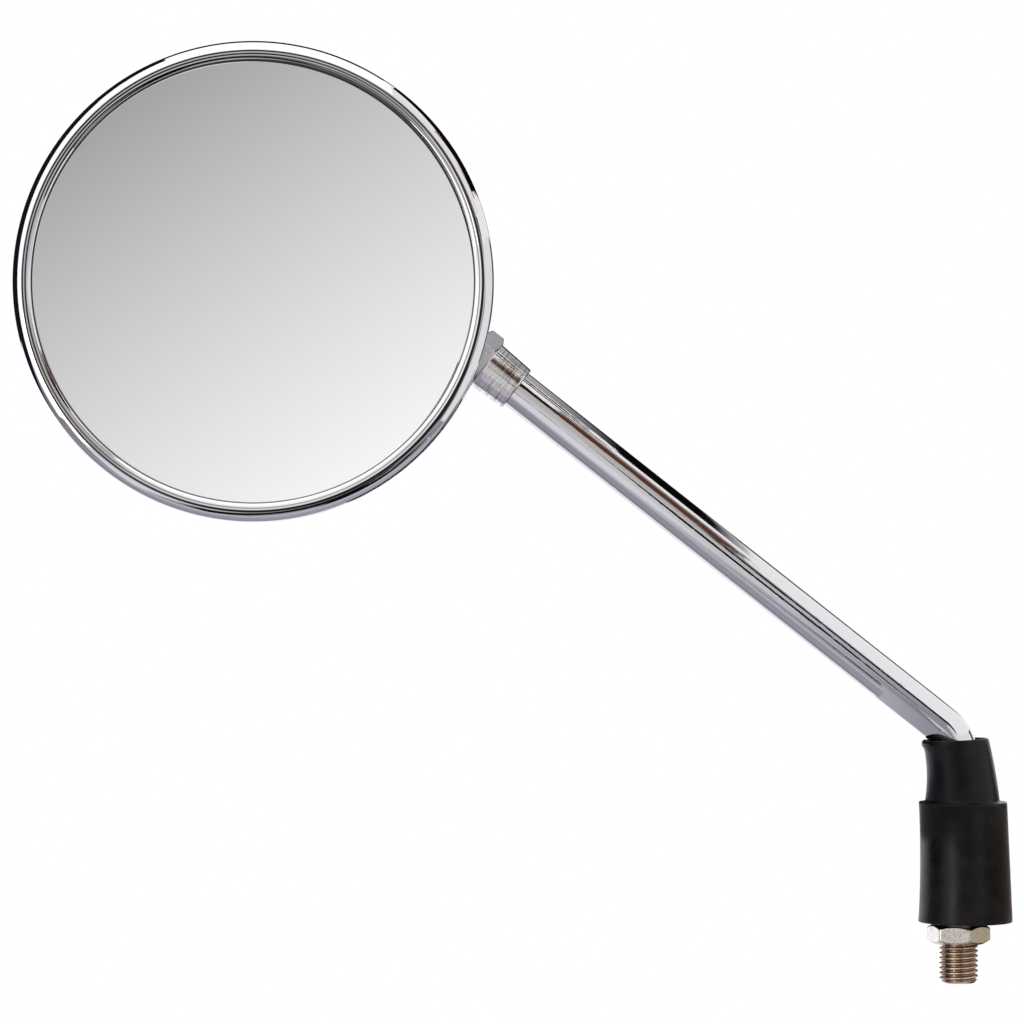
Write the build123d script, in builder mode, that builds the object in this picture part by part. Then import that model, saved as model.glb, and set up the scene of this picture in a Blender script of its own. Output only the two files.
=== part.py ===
from build123d import *
import math
import os

# Round motorcycle mirror on a bent stalk, left hand, in millimetres and degrees.
# Frame: Z runs up the stud, the origin is on the stud's axis at the lock nut's lower face,
# the stalk leans towards -X, and the glass faces -Y.

# Stalk: one bent rod, threaded at its lower end
stalk_diameter = 10.0
stalk_slope = 38.3            # above level, past the bend
bend_height = 51.8            # where the two straight runs would meet
bend_radius = 11.0            # at the rod's centre line
stalk_reach = 142.4           # from that corner to the ball pin's collar
spigot_diameter = 7.9         # screwed into the collar
spigot_length = 7.8

# Stud: M10 x 1.25, shown at its crest, and at its pitch diameter inside the nut
stud_diameter = 9.86
stud_pitch_diameter = 9.19
stud_length = 9.9             # below the nut
stud_top = 18.0               # where the thread runs out, inside the boot
stud_chamfer = 1.0

# Lock nut
nut_across_flats = 14.0
nut_height = 5.0
nut_face_inset = 0.35         # from the flats to the rim of the flat face
nut_turn = -12.6              # from +X to a corner
nut_mouth = 0.5               # countersink of the threaded hole

# Rubber boot: its skirt can pass over the nut, and its parts lean off the rod's axis as they hang
boot_below_bend = 0.2         # from the corner down to the boot's mouth
neck_rise = 15.8
skirt_above_nut = 0.4         # it hangs just clear of the nut
skirt_over_nut = 0.3
skirt_bottom_wall = 1.85
skirt_bottom_lean = 1.7
skirt_top_wall = 1.1
skirt_top_lean = 1.05
skirt_roof_thickness = 2.9
skirt_edge = 0.7
neck_bottom_wall = 4.5
neck_bottom_lean = 0.95
neck_waist_rise = 8.3         # above the step
neck_waist_wall = 3.65
neck_waist_lean = 0.56
neck_top_wall = 3.4
neck_top_lean = 0.47
neck_top_tilt = 2.0           # the mouth tips towards the bend
neck_edge = 0.3

# Ball pin: ball, neck, hex and collar turned in one
ball_diameter = 12.0
pin_neck_diameter = 6.0
pin_hex_room = 0.75           # from the socket's nose to the hex
pin_hex_length = 5.0
pin_hex_across_flats = 14.0   # one spanner fits this hex and the lock nut
pin_face_inset = 0.3
hex_chamfer_angle = 30.0
collar_start_diameter = 13.0  # at the hex
collar_end_diameter = 12.0    # at the rod
collar_length = 9.56
collar_edge = 0.25
collar_bore_room = 0.2        # past the spigot's end

# Ball socket, liners and spring stack
liner_thickness = 1.4
liner_room = 0.3              # round the pin's neck
socket_wall = 1.75
socket_mouth_angle = 45.5     # half angle of the cone that the neck swings in
socket_tail = 1.8             # behind the snap ring
front_liner_end = 76.0        # angles from the pin's axis
rear_liner_start = 95.0
cup_start_angle = 125.0
cup_floor = 2.0
spring_length = 6.0
spring_wire = 1.5
spring_diameter = 12.0        # over the wire
spring_turns = 2.5
seat_thickness = 1.2
seat_hole = 5.0
ring_thickness = 1.0
ring_bite = 0.65              # depth of the ring's groove
ring_width = 1.7
ring_gap = 5.0

# Head: the ball sits inside the bowl's side, and the rim's diameter sets the rest
head_swing = 24.77            # from the stalk's line to the line from the ball to the head's axis
ball_set_in = 5.27            # from the bowl's side to the ball's middle
ball_behind_rim = 18.0
rim_diameter = 120.0
rim_sheet = 0.7
outer_bead_width = 3.15       # from the side wall in to the valley
outer_bead_drop = 0.06        # at the valley, below its crown
inner_bead_width = 1.5        # from the valley in to the opening
inner_bead_depth = 0.5        # crown of the inner bead, behind the outer bead's
valley_depth = 0.95
rim_lip_depth = 1.5
rim_lip_tuck = 0.3            # the sheet's edge behind the lip
rim_roll = 1.2                # radius of the rolled back edge
back_lip_width = 3.8
shell_sheet = 0.8
flange_room = 0.4             # from the flange's edge to the rim's side wall
bowl_step = 3.2               # from the back lip in to the bowl
bowl_depth = 28.6             # behind the flange
bowl_knuckle = 20.0           # radius between the bowl's side and its crown
flange_bend = 1.2             # outside radius where the flange turns into the bowl
glass_cover = 0.95            # glass under the rim's lip
glass_thickness = 2.0
glass_sphere_radius = 1000.0
gasket_wall = 0.4
gasket_show = 0.25            # seen inside the rim

# Clearances
ball_fit = 0.05               # round the ball and its liners
thread_fit = 0.05             # between plain cylinders that stand for threads
slide_fit = 0.05              # stack in the socket's bore, and the socket in the shell
boot_fit = 0.1                # rubber round the rod
seat_gap = 0.05               # between clamped faces

os.makedirs("parts", exist_ok=True)

# Radii of the ball joint
stalk_radius = stalk_diameter / 2
stud_radius = stud_diameter / 2
stud_mesh_radius = stud_pitch_diameter / 2
ball_radius = ball_diameter / 2
liner_inner = ball_radius + ball_fit
liner_outer = liner_inner + liner_thickness
socket_bore = liner_outer + ball_fit
socket_outer = socket_bore + socket_wall

# Radii of the head
rim_radius = rim_diameter / 2
valley_radius = rim_radius - outer_bead_width
opening_radius = valley_radius - inner_bead_width
glass_radius = opening_radius + glass_cover
flange_radius = rim_radius - rim_sheet - flange_room
back_lip_radius = rim_radius - back_lip_width
bowl_radius = back_lip_radius - bowl_step

# Directions and points that the pieces share
slope = math.radians(stalk_slope)
stalk_line = Vector(-math.cos(slope), 0, math.sin(slope))
across_line = Vector(-math.sin(slope), 0, -math.cos(slope))
pin_line = stalk_line * -1
corner = Vector(0, 0, bend_height)
stalk_end = corner + stalk_line * stalk_reach
pin_hex_distance = socket_outer + pin_hex_room
collar_start = pin_hex_distance + pin_hex_length
collar_end = collar_start + collar_length
ball_centre = stalk_end + stalk_line * collar_end
swing = math.radians(head_swing)
head_line = stalk_line * math.cos(swing) + across_line * math.sin(swing)
head_centre = ball_centre + head_line * (bowl_radius - ball_set_in) + Vector(0, -ball_behind_rim, 0)

# Sections: x is the radius and y runs along the axis of revolution
pin_section = Plane(ball_centre, x_dir=(0, 1, 0), z_dir=Vector(0, 1, 0).cross(pin_line))
pin_axis = Axis(ball_centre, pin_line)
head_section = Plane(head_centre, x_dir=(1, 0, 0), z_dir=(0, 0, 1))
head_axis = Axis(head_centre, (0, 1, 0))


def pin_plane(distance):
    """Plane across the pin's axis, at a distance from the ball's middle towards the stalk."""
    return Plane(ball_centre + pin_line * distance, x_dir=across_line, z_dir=pin_line)


def polar(radius, angle):
    """Point of a section through the ball, at an angle from the pin's axis."""
    turn = math.radians(angle)
    return (radius * math.sin(turn), radius * math.cos(turn))


def ball_arc(radius, start, end):
    """Arc about the ball's middle, between two angles from the pin's axis."""
    return ThreePointArc(polar(radius, start), polar(radius, (start + end) / 2), polar(radius, end))


def chamfered_hex_outline(start, length, across_flats, face_inset):
    """Half section that takes the corners off a hex bar at both of its faces."""
    corner_radius = across_flats / math.sqrt(3)
    face_radius = across_flats / 2 - face_inset
    drop = (corner_radius - face_radius) * math.tan(math.radians(hex_chamfer_angle))
    return Polyline(
        (0, start),
        (face_radius, start),
        (corner_radius, start + drop),
        (corner_radius, start + length - drop),
        (face_radius, start + length),
        (0, start + length),
        close=True,
    )


# Stalk
with BuildPart() as stalk:
    with BuildLine(Plane.XZ):
        FilletPolyline(
            (0, stud_top), (0, bend_height), (stalk_end.X, stalk_end.Z), radius=bend_radius
        )
    with BuildSketch(Plane.XY.offset(stud_top)):
        Circle(stalk_radius)
    sweep()
    with BuildSketch(Plane.XZ):
        with BuildLine():
            Polyline(
                (0, stud_top),
                (stud_radius, stud_top),
                (stud_radius, nut_height + seat_gap),
                (stud_mesh_radius, nut_height + seat_gap),
                (stud_mesh_radius, -seat_gap),
                (stud_radius, -seat_gap),
                (stud_radius, stud_chamfer - stud_length),
                (stud_radius - stud_chamfer, -stud_length),
                (0, -stud_length),
                close=True,
            )
        make_face()
    revolve(axis=Axis.Z)
    with BuildSketch(Plane(stalk_end, x_dir=(0, 1, 0), z_dir=stalk_line)):
        Circle(spigot_diameter / 2)
    extrude(amount=spigot_length)

# Lock nut
with BuildPart() as lock_nut:
    with BuildSketch():
        RegularPolygon(nut_across_flats / 2, 6, major_radius=False, rotation=nut_turn)
    extrude(amount=nut_height)
    with BuildSketch(Plane.XZ):
        with BuildLine():
            chamfered_hex_outline(0, nut_height, nut_across_flats, nut_face_inset)
        make_face()
    revolve(axis=Axis.Z, mode=Mode.INTERSECT)
    with BuildSketch():
        Circle(stud_mesh_radius + thread_fit)
    extrude(amount=nut_height, mode=Mode.SUBTRACT)
    hole_edges = lock_nut.edges().filter_by(GeomType.CIRCLE).sort_by(SortBy.RADIUS)[:2]
    chamfer(hole_edges, length=nut_mouth)

# Rubber boot: a hollow skirt, and a neck that follows the rod into its bend
boot_mouth = bend_height - boot_below_bend
boot_step = boot_mouth - neck_rise
boot_bottom = nut_height + skirt_above_nut
skirt_roof = boot_step - skirt_roof_thickness
skirt_bore_radius = nut_across_flats / math.sqrt(3) + skirt_bottom_lean + skirt_over_nut
bend_start = bend_height - bend_radius * math.tan((math.pi / 2 - slope) / 2)
neck_tip = math.radians(neck_top_tilt)


def rod_middle(height):
    """x of the rod's centre line at a height below the bend's end."""
    rise = max(height - bend_start, 0)
    return math.sqrt(bend_radius**2 - rise**2) - bend_radius


with BuildPart() as rubber_boot:
    with BuildSketch(Plane((skirt_bottom_lean, 0, boot_bottom))):
        Circle(skirt_bore_radius + skirt_bottom_wall)
    with BuildSketch(Plane((skirt_top_lean, 0, boot_step))):
        Circle(skirt_bore_radius + skirt_top_wall)
    loft()
    fillet(rubber_boot.faces().filter_by(Axis.Z).edges(), radius=skirt_edge)
    with BuildSketch(Plane((neck_bottom_lean, 0, boot_step))):
        Circle(stalk_radius + neck_bottom_wall)
    neck_waist = boot_step + neck_waist_rise
    with BuildSketch(Plane((rod_middle(neck_waist) + neck_waist_lean, 0, neck_waist))):
        Circle(stalk_radius + neck_waist_wall)
    neck_top = Plane(
        (rod_middle(boot_mouth) + neck_top_lean, 0, boot_mouth),
        x_dir=(math.cos(neck_tip), 0, math.sin(neck_tip)),
        z_dir=(-math.sin(neck_tip), 0, math.cos(neck_tip)),
    )
    with BuildSketch(neck_top):
        Circle(stalk_radius + neck_top_wall)
    loft()
    fillet(rubber_boot.edges().sort_by(Axis.Z)[-1], radius=neck_edge)
    with BuildSketch(Plane((skirt_bottom_lean, 0, boot_bottom))):
        Circle(skirt_bore_radius)
    with BuildSketch(Plane((skirt_top_lean, 0, skirt_roof))):
        Circle(skirt_bore_radius)
    loft(mode=Mode.SUBTRACT)
    with BuildLine(Plane.XZ):
        FilletPolyline(
            (0, boot_bottom), (0, bend_height), (stalk_end.X, stalk_end.Z), radius=bend_radius
        )
    with BuildSketch(Plane.XY.offset(boot_bottom)):
        Circle(stalk_radius + boot_fit)
    sweep(mode=Mode.SUBTRACT)

# Ball pin
pin_neck_radius = pin_neck_diameter / 2
pin_neck_angle = math.degrees(math.asin(pin_neck_radius / ball_radius))

with BuildPart() as ball_pin:
    with BuildSketch(pin_plane(pin_hex_distance)):
        RegularPolygon(pin_hex_across_flats / 2, 6, major_radius=False)
    extrude(amount=pin_hex_length)
    with BuildSketch(pin_section):
        with BuildLine():
            chamfered_hex_outline(
                pin_hex_distance, pin_hex_length, pin_hex_across_flats, pin_face_inset
            )
        make_face()
    revolve(axis=pin_axis, mode=Mode.INTERSECT)
    with BuildSketch(pin_section):
        with BuildLine():
            ball_arc(ball_radius, 180, pin_neck_angle)
            Polyline(
                polar(ball_radius, pin_neck_angle),
                (pin_neck_radius, pin_hex_distance),
                (0, pin_hex_distance),
                (0, -ball_radius),
            )
        make_face()
    revolve(axis=pin_axis)
    with BuildSketch(pin_section):
        with BuildLine():
            Polyline(
                (0, collar_start),
                (collar_start_diameter / 2, collar_start),
                (collar_end_diameter / 2, collar_end),
                (0, collar_end),
                close=True,
            )
        make_face()
    revolve(axis=pin_axis)
    chamfer(ball_pin.faces().sort_by(pin_axis)[-1].edges(), length=collar_edge)
    with BuildSketch(pin_plane(collar_end)):
        Circle(spigot_diameter / 2 + thread_fit)
    extrude(amount=-spigot_length - collar_bore_room, mode=Mode.SUBTRACT)

# Ball liners: two zones of a hollow ball, the front one open round the pin's neck
front_liner_mouth = math.degrees(math.asin((pin_neck_radius + liner_room) / liner_inner))

with BuildPart() as front_liner:
    with BuildSketch(pin_section):
        with BuildLine():
            ball_arc(liner_inner, front_liner_mouth, front_liner_end)
            Line(polar(liner_inner, front_liner_end), polar(liner_outer, front_liner_end))
            ball_arc(liner_outer, front_liner_end, front_liner_mouth)
            Line(polar(liner_outer, front_liner_mouth), polar(liner_inner, front_liner_mouth))
        make_face()
    revolve(axis=pin_axis)

with BuildPart() as rear_liner:
    with BuildSketch(pin_section):
        with BuildLine():
            ball_arc(liner_inner, rear_liner_start, 180)
            Line(polar(liner_inner, 180), polar(liner_outer, 180))
            ball_arc(liner_outer, 180, rear_liner_start)
            Line(polar(liner_outer, rear_liner_start), polar(liner_inner, rear_liner_start))
        make_face()
    revolve(axis=pin_axis)

# Spring stack behind the ball, measured back from the ball's middle
cup_back = socket_bore + cup_floor
spring_back = cup_back + spring_length
seat_back = spring_back + seat_thickness
ring_back = seat_back + ring_thickness
socket_end = ring_back + socket_tail
stack_radius = socket_bore - slide_fit
groove_radius = socket_bore + ring_bite
cup_start = polar(socket_bore, cup_start_angle)

with BuildPart() as pressure_cup:
    with BuildSketch(pin_section):
        with BuildLine():
            ball_arc(socket_bore, cup_start_angle, 180)
            Polyline(
                polar(socket_bore, 180),
                (0, -cup_back),
                (stack_radius, -cup_back),
                (stack_radius, cup_start[1]),
                cup_start,
            )
        make_face()
    revolve(axis=pin_axis)

coil_radius = (spring_diameter - spring_wire) / 2
spring_seat_plane = pin_plane(-cup_back)

with BuildPart() as pressure_spring:
    with BuildLine():
        coil = Helix(
            spring_length / spring_turns,
            spring_length,
            coil_radius,
            center=spring_seat_plane.origin,
            direction=stalk_line,
        )
    with BuildSketch(Plane(coil @ 0, z_dir=coil % 0)):
        Circle(spring_wire / 2)
    sweep(path=coil, is_frenet=True)
    with BuildSketch(spring_seat_plane):
        Circle(spring_diameter)
    extrude(amount=-spring_length, mode=Mode.INTERSECT)

with BuildPart() as spring_seat:
    with BuildSketch(pin_plane(-spring_back)):
        Circle(stack_radius)
        Circle(seat_hole / 2, mode=Mode.SUBTRACT)
    extrude(amount=-seat_thickness)

with BuildPart() as snap_ring:
    with BuildSketch(pin_plane(-seat_back)):
        Circle(groove_radius - slide_fit)
        Circle(groove_radius - slide_fit - ring_width, mode=Mode.SUBTRACT)
        with Locations((groove_radius, 0)):
            Rectangle(2 * ring_width + groove_radius, ring_gap, mode=Mode.SUBTRACT)
    extrude(amount=-ring_thickness)

with BuildPart() as ball_socket:
    with BuildSketch(pin_section):
        with BuildLine():
            ball_arc(socket_outer, socket_mouth_angle, 90)
            Polyline(
                (socket_outer, 0),
                (socket_outer, -socket_end),
                (socket_bore, -socket_end),
                (socket_bore, -ring_back - slide_fit),
                (groove_radius, -ring_back - slide_fit),
                (groove_radius, -seat_back),
                (socket_bore, -seat_back),
                (socket_bore, 0),
            )
            ball_arc(socket_bore, 90, socket_mouth_angle)
            Line(polar(socket_bore, socket_mouth_angle), polar(socket_outer, socket_mouth_angle))
        make_face()
    revolve(axis=pin_axis)

# Clamped stack of the head, as depths behind the rim's front
gasket_radius = opening_radius - gasket_show
gasket_front = rim_lip_depth + rim_lip_tuck + seat_gap


def glass_sag(radius):
    """How far a point of the convex glass lies behind its middle."""
    return glass_sphere_radius - math.sqrt(glass_sphere_radius**2 - radius**2)


glass_front = gasket_front + gasket_wall + seat_gap - glass_sag(gasket_radius)
glass_edge = glass_front + glass_sag(glass_radius)
gasket_back = glass_edge + glass_thickness + seat_gap + gasket_wall
flange_front = gasket_back + seat_gap
flange_back = flange_front + shell_sheet
rim_back = flange_back + seat_gap + rim_sheet

with BuildPart() as mirror_glass:
    with BuildSketch(head_section):
        half = glass_radius / 2
        with BuildLine():
            ThreePointArc(
                (0, glass_front), (half, glass_front + glass_sag(half)), (glass_radius, glass_edge)
            )
            Line((glass_radius, glass_edge), (glass_radius, glass_edge + glass_thickness))
            ThreePointArc(
                (glass_radius, glass_edge + glass_thickness),
                (half, glass_front + glass_sag(half) + glass_thickness),
                (0, glass_front + glass_thickness),
            )
            Line((0, glass_front + glass_thickness), (0, glass_front))
        make_face()
    revolve(axis=head_axis)

gasket_inside = glass_radius + seat_gap
gasket_outside = gasket_inside + gasket_wall

with BuildPart() as glass_gasket:
    with BuildSketch(head_section):
        with BuildLine():
            Polyline(
                (gasket_radius, gasket_front),
                (gasket_outside, gasket_front),
                (gasket_outside, gasket_back),
                (gasket_radius, gasket_back),
                (gasket_radius, gasket_back - gasket_wall),
                (gasket_inside, gasket_back - gasket_wall),
                (gasket_inside, gasket_front + gasket_wall),
                (gasket_radius, gasket_front + gasket_wall),
                close=True,
            )
        make_face()
    revolve(axis=head_axis)

# Rim: the outer bead's arc starts at the valley and touches the front plane and the side wall
bead_radius = outer_bead_width + outer_bead_drop - math.sqrt(2 * outer_bead_width * outer_bead_drop)
bead_middle = (rim_radius - bead_radius, bead_radius)
roll_middle = (rim_radius - rim_roll, rim_back - rim_roll)
inside_radius = rim_radius - rim_sheet
inner_bead_middle = (opening_radius + valley_radius) / 2

with BuildPart() as bezel:
    with BuildSketch(head_section):
        with BuildLine():
            ThreePointArc(
                (opening_radius, rim_lip_depth),
                (inner_bead_middle, inner_bead_depth),
                (valley_radius, valley_depth),
            )
            Line((valley_radius, valley_depth), (valley_radius, outer_bead_drop))
            ThreePointArc(
                (valley_radius, outer_bead_drop),
                (bead_middle[0], 0),
                (rim_radius, bead_radius),
            )
            Line((rim_radius, bead_radius), (rim_radius, roll_middle[1]))
            CenterArc(roll_middle, rim_roll, 0, 90)
            Polyline(
                (roll_middle[0], rim_back),
                (back_lip_radius, rim_back),
                (back_lip_radius, rim_back - rim_sheet),
                (roll_middle[0], rim_back - rim_sheet),
            )
            CenterArc(roll_middle, rim_roll - rim_sheet, 0, 90)
            Line((inside_radius, roll_middle[1]), (inside_radius, bead_radius))
            CenterArc(bead_middle, bead_radius - rim_sheet, -90, 90)
            Polyline(
                (bead_middle[0], rim_sheet),
                (valley_radius + rim_sheet, rim_sheet + outer_bead_drop),
                (valley_radius, valley_depth + rim_sheet),
                (inner_bead_middle, rim_lip_depth + rim_lip_tuck),
                (opening_radius, rim_lip_depth),
            )
        make_face()
    revolve(axis=head_axis)

# Shell: a flanged bowl, knuckle and crown, with the socket's opening in its side
knuckle_reach = bowl_radius - bowl_knuckle
knuckle_depth = flange_back + flange_bend
dome_depth = bowl_depth - flange_bend
crown_radius = (dome_depth**2 + knuckle_reach**2 - bowl_knuckle**2) / (2 * (dome_depth - bowl_knuckle))
crown_start = math.degrees(math.atan2(crown_radius - dome_depth, knuckle_reach))
bowl_back = flange_back + bowl_depth
bend_middle = (bowl_radius + flange_bend, knuckle_depth)
knuckle_middle = (knuckle_reach, knuckle_depth)
crown_middle = (0, bowl_back - crown_radius)
socket_cut = socket_outer + slide_fit

with BuildPart() as shell:
    with BuildSketch(head_section):
        with BuildLine():
            CenterArc(bend_middle, flange_bend, 180, 90)
            CenterArc(knuckle_middle, bowl_knuckle, 0, crown_start)
            CenterArc(crown_middle, crown_radius, crown_start, 90 - crown_start)
            Line((0, bowl_back), (0, bowl_back - shell_sheet))
            CenterArc(crown_middle, crown_radius - shell_sheet, crown_start, 90 - crown_start)
            CenterArc(knuckle_middle, bowl_knuckle - shell_sheet, 0, crown_start)
            CenterArc(bend_middle, flange_bend + shell_sheet, 180, 90)
            Polyline(
                (bowl_radius + flange_bend, flange_front),
                (flange_radius, flange_front),
                (flange_radius, flange_back),
                (bowl_radius + flange_bend, flange_back),
            )
        make_face()
    revolve(axis=head_axis)
    with BuildSketch(pin_section):
        with BuildLine():
            ball_arc(socket_cut, 0, 90)
            Polyline(
                (socket_cut, 0), (socket_cut, -socket_end), (0, -socket_end), (0, socket_cut)
            )
        make_face()
    revolve(axis=pin_axis, mode=Mode.SUBTRACT)

pieces = {
    "stalk": stalk,
    "lock_nut": lock_nut,
    "rubber_boot": rubber_boot,
    "ball_pin": ball_pin,
    "front_liner": front_liner,
    "rear_liner": rear_liner,
    "ball_socket": ball_socket,
    "pressure_cup": pressure_cup,
    "pressure_spring": pressure_spring,
    "spring_seat": spring_seat,
    "snap_ring": snap_ring,
    "mirror_glass": mirror_glass,
    "glass_gasket": glass_gasket,
    "bezel": bezel,
    "shell": shell,
}
for label, piece in pieces.items():
    piece.part.label = label
    export_step(piece.part, f"parts/{label}.step")
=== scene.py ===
import math
import bpy
import numpy as np
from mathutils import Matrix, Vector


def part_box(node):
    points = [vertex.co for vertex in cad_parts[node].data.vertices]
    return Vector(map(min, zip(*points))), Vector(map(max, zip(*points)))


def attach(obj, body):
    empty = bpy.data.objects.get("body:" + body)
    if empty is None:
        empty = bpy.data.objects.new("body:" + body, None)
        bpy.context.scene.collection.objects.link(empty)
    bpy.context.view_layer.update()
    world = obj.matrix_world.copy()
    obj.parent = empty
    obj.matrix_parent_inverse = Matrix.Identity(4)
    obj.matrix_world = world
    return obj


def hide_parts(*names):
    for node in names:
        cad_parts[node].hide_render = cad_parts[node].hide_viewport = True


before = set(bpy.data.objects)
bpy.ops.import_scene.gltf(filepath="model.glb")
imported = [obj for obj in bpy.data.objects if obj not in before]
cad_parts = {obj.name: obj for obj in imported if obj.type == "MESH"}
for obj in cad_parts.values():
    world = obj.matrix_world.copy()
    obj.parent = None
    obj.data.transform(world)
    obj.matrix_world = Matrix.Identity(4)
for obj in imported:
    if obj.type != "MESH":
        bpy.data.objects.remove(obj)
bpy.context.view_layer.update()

mm = 0.001
poleRadius = 0.02  # last ring before a flat cap, in millimetres
print("frame loaded,", len(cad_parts), "nodes")


# sRGB hex to linear, with alpha
def linear(code, gain=1.0):
    srgb = np.array([int(code[i:i + 2], 16) for i in (1, 3, 5)]) / 255
    lin = np.where(srgb <= 0.04045, srgb / 12.92, ((srgb + 0.055) / 1.055) ** 2.4)
    return (*(lin * gain).tolist(), 1.0)


# sets a node's inputs: each is a value, or another node's output to link
def feed(tree, node, inputs):
    for name, value in inputs.items():
        if isinstance(value, bpy.types.NodeSocket):
            tree.links.new(value, node.inputs[name])
        else:
            node.inputs[name].default_value = value


# adds a shader node of a kind, with its properties and its inputs; a mix has its vectors at inputs 4 and 5 and the
# result at output 1, or its colours at inputs 6 and 7 and the result at output 2
def addNode(tree, kind, inputs=None, **settings):
    node = tree.nodes.new("ShaderNode" + kind)
    for name, value in settings.items():
        setattr(node, name, value)
    feed(tree, node, inputs or {})
    return node


# an empty node material with one Principled shader, and its tree
def newMaterial(name, inputs):
    material = bpy.data.materials.new(name)
    material.use_nodes = True
    tree = material.node_tree
    tree.nodes.clear()
    shader = addNode(tree, "BsdfPrincipled", inputs)
    addNode(tree, "OutputMaterial", {"Surface": shader.outputs["BSDF"]})
    return material, tree, shader


# links a finish's patterns to its shader: rubbed is the roughness, bump the normal and tone the colour
def dress(tree, shader, rubbed, bump=None, tone=None):
    feed(tree, shader, {"Roughness": rubbed.outputs["Result"]})
    if bump:
        feed(tree, shader, {"Normal": bump.outputs["Normal"]})
    if tone:
        feed(tree, shader, {"Base Color": tone.outputs[2]})


# a grid of points becomes a mesh: rows follow the profile or path, columns go round;
# capped ends get one face each, and the faces are turned if the enclosed volume is negative
def gridPiece(name, points, closedRows=False, caps=(), acrossMm=None, alongMm=None):
    rows, cols = points.shape[:2]
    lastRow = rows if closedRows else rows - 1
    i, j = np.meshgrid(np.arange(lastRow), np.arange(cols), indexing="ij")
    down, right = (i + 1) % rows, (j + 1) % cols
    quads = np.stack([i * cols + j, i * cols + right, down * cols + right, down * cols + j], -1).reshape(-1, 4)
    flat = points.reshape(-1, 3)
    a, b, c, d = (flat[quads[:, k]] for k in range(4))
    volume = np.einsum("ij,ij->i", a, np.cross(b, c) + np.cross(c, d)).sum()
    # u runs round and v along the profile, both in millimetres of the real surface
    across = np.linspace(0, cols, cols + 1) if acrossMm is None else acrossMm
    along = np.linspace(0, rows, rows + 1) if alongMm is None else alongMm
    u = np.stack([across[j], across[j + 1], across[j + 1], across[j]], -1).reshape(-1, 4)
    v = np.stack([along[i], along[i], along[i + 1], along[i + 1]], -1).reshape(-1, 4)
    order = [0, 1, 2, 3] if volume > 0 else [3, 2, 1, 0]
    quads, u, v = quads[:, order], u[:, order], v[:, order]
    faces = quads.tolist()
    ring = np.arange(cols)
    for end in caps:
        loop = ring if end == "start" else (rows - 1) * cols + ring
        outward = (end == "start") == (volume > 0)
        faces.append((loop[::-1] if outward else loop).tolist())
    mesh = bpy.data.meshes.new(name)
    mesh.from_pydata(flat.tolist(), [], faces)
    uv = np.zeros((len(mesh.loops), 2), np.float32)
    uv[:u.size, 0], uv[:v.size, 1] = u.ravel(), v.ravel()
    mesh.uv_layers.new(name="surfaceMm").data.foreach_set("uv", uv.ravel())
    mesh.polygons.foreach_set("use_smooth", np.arange(len(mesh.polygons)) < len(quads))
    piece = bpy.data.objects.new(name, mesh)
    bpy.context.scene.collection.objects.link(piece)
    return piece


# hands a finished piece to the frame
def settle(piece, body, slotName, materials, *nodes):
    for material in materials:
        piece.data.materials.append(material)
    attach(piece, body)
    if nodes:
        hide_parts(*nodes)
    print(piece.name, "made,", len(piece.data.polygons), "faces")


# points on an arc of a section, from one angle to another, in degrees
def arc(cx, cy, radius, start, end, count=24):
    turn = np.radians(np.linspace(start, end, count))
    return np.stack([cx + radius * np.cos(turn), cy + radius * np.sin(turn)], -1)


# resamples a polyline evenly, blurs it along its length so that no edge is sharper than the blur,
# and then keeps points where the curve is long or turns
def softened(line, closed, blur, count, step=0.02, turnWeight=1.4):
    line = np.asarray(line, float)
    if closed:
        line = np.vstack([line, line[:1]])
    length = np.r_[0, np.cumsum(np.linalg.norm(np.diff(line[:, :2], axis=0), axis=1))]
    keep = np.r_[True, np.diff(length) > 1e-9]
    line, length = line[keep], length[keep]
    s = np.linspace(0, length[-1], int(length[-1] / step))
    dense = np.stack([np.interp(s, length, line[:, k]) for k in range(line.shape[1])], -1)
    reach = int(3 * blur / step)
    weights = np.exp(-0.5 * (np.arange(-reach, reach + 1) * step / blur) ** 2)
    weights /= weights.sum()
    if closed:
        dense = dense[:-1]
        padded = np.vstack([dense[-reach:], dense, dense[:reach]])
    else:
        head = 2 * dense[0] - dense[reach:0:-1]
        tail = 2 * dense[-1] - dense[-2:-reach - 2:-1]
        padded = np.vstack([head, dense, tail])
    smooth = np.stack([np.convolve(padded[:, k], weights, "valid") for k in range(line.shape[1])], -1)
    loop = np.vstack([smooth, smooth[:1]]) if closed else smooth
    runs = np.diff(loop[:, :2], axis=0)
    angle = np.unwrap(np.arctan2(runs[:, 1], runs[:, 0]))
    turning = np.abs(np.diff(angle, prepend=angle[-1] if closed else angle[0]))
    turning = np.minimum(turning, 2 * math.pi - np.minimum(turning, 2 * math.pi))
    cost = np.r_[0, np.cumsum(np.linalg.norm(runs, axis=1) + turnWeight * turning)]
    places = np.linspace(0, cost[-1], count + 1 if closed else count)
    kept = np.stack([np.interp(places, cost, loop[:, k]) for k in range(loop.shape[1])], -1)
    return kept[:-1] if closed else kept


# running length of a profile, one more value than it has points, for the uv map
def runLength(profile):
    loop = np.vstack([profile[:, :2], profile[:1, :2]])
    return np.r_[0, np.cumsum(np.linalg.norm(np.diff(loop, axis=0), axis=1))]


# carries a profile of radius and distance round an axis:
# point = foot + distance * axis + radius * (cos * one + sin * two)
def revolved(profile, cols, foot, axis, one, two):
    turn = np.linspace(0, 2 * math.pi, cols, endpoint=False)
    ring = np.cos(turn)[:, None] * np.asarray(one) + np.sin(turn)[:, None] * np.asarray(two)
    return (np.asarray(foot) + profile[:, None, 1:2] * np.asarray(axis) + profile[:, None, 0:1] * ring) * mm


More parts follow.
